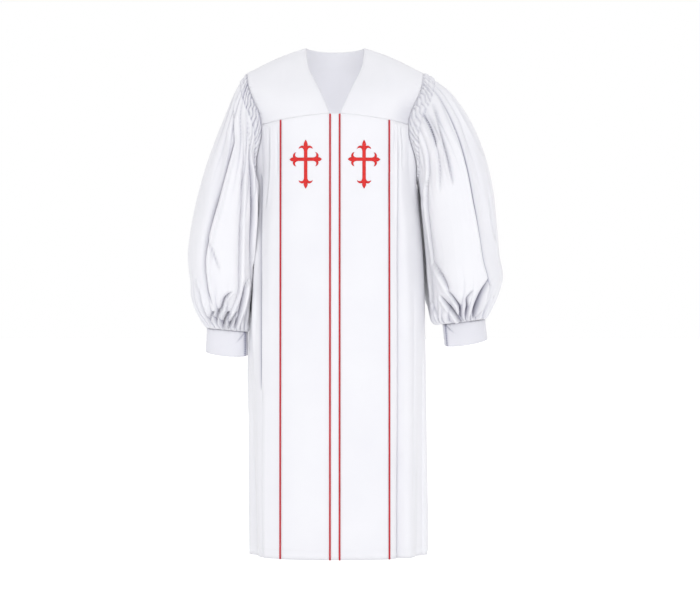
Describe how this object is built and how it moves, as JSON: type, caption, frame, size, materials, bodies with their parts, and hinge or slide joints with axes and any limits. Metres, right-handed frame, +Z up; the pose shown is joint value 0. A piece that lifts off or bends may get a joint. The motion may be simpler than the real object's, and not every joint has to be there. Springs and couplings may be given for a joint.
{
  "type": "pulpit robe",
  "caption": "Full-length robe filled out as if worn: yoke with an open V neck, zipped front, piped seams, crosses on the chest, fluted sides and back, full sleeves gathered into cuffs.",
  "frame": {"origin": "where the wearer's shoulders carry the yoke: in the middle of the neck opening, level with the middle of the shoulder seams, 10 mm below the neck points", "axes": "+Z up, front of the robe towards -Y, the wearer's left arm on +X"},
  "size_m": [0.8435, 0.3293, 1.3459],
  "materials": {
    "satin": "white satin-faced cloth, soft sheen",
    "piping": "red piping cord, slight sheen",
    "embroidery": "red embroidery in satin stitch, shiny thread"
  },
  "bodies": {
    "root": {"back_left": "satin", "back_right": "satin", "cross_left": "embroidery", "cross_right": "embroidery", "cuff_left": "satin", "cuff_right": "satin", "front_panel_left": "satin", "front_panel_right": "satin", "front_side_left": "satin", "front_side_right": "satin", "piping_inner_left": "piping", "piping_inner_right": "piping", "piping_outer_left": "piping", "piping_outer_right": "piping", "sleeve_left": "satin", "sleeve_right": "satin", "yoke_back": "satin", "yoke_front_left": "satin", "yoke_front_right": "satin", "zip_placket": "satin"}
  },
  "joints": []
}
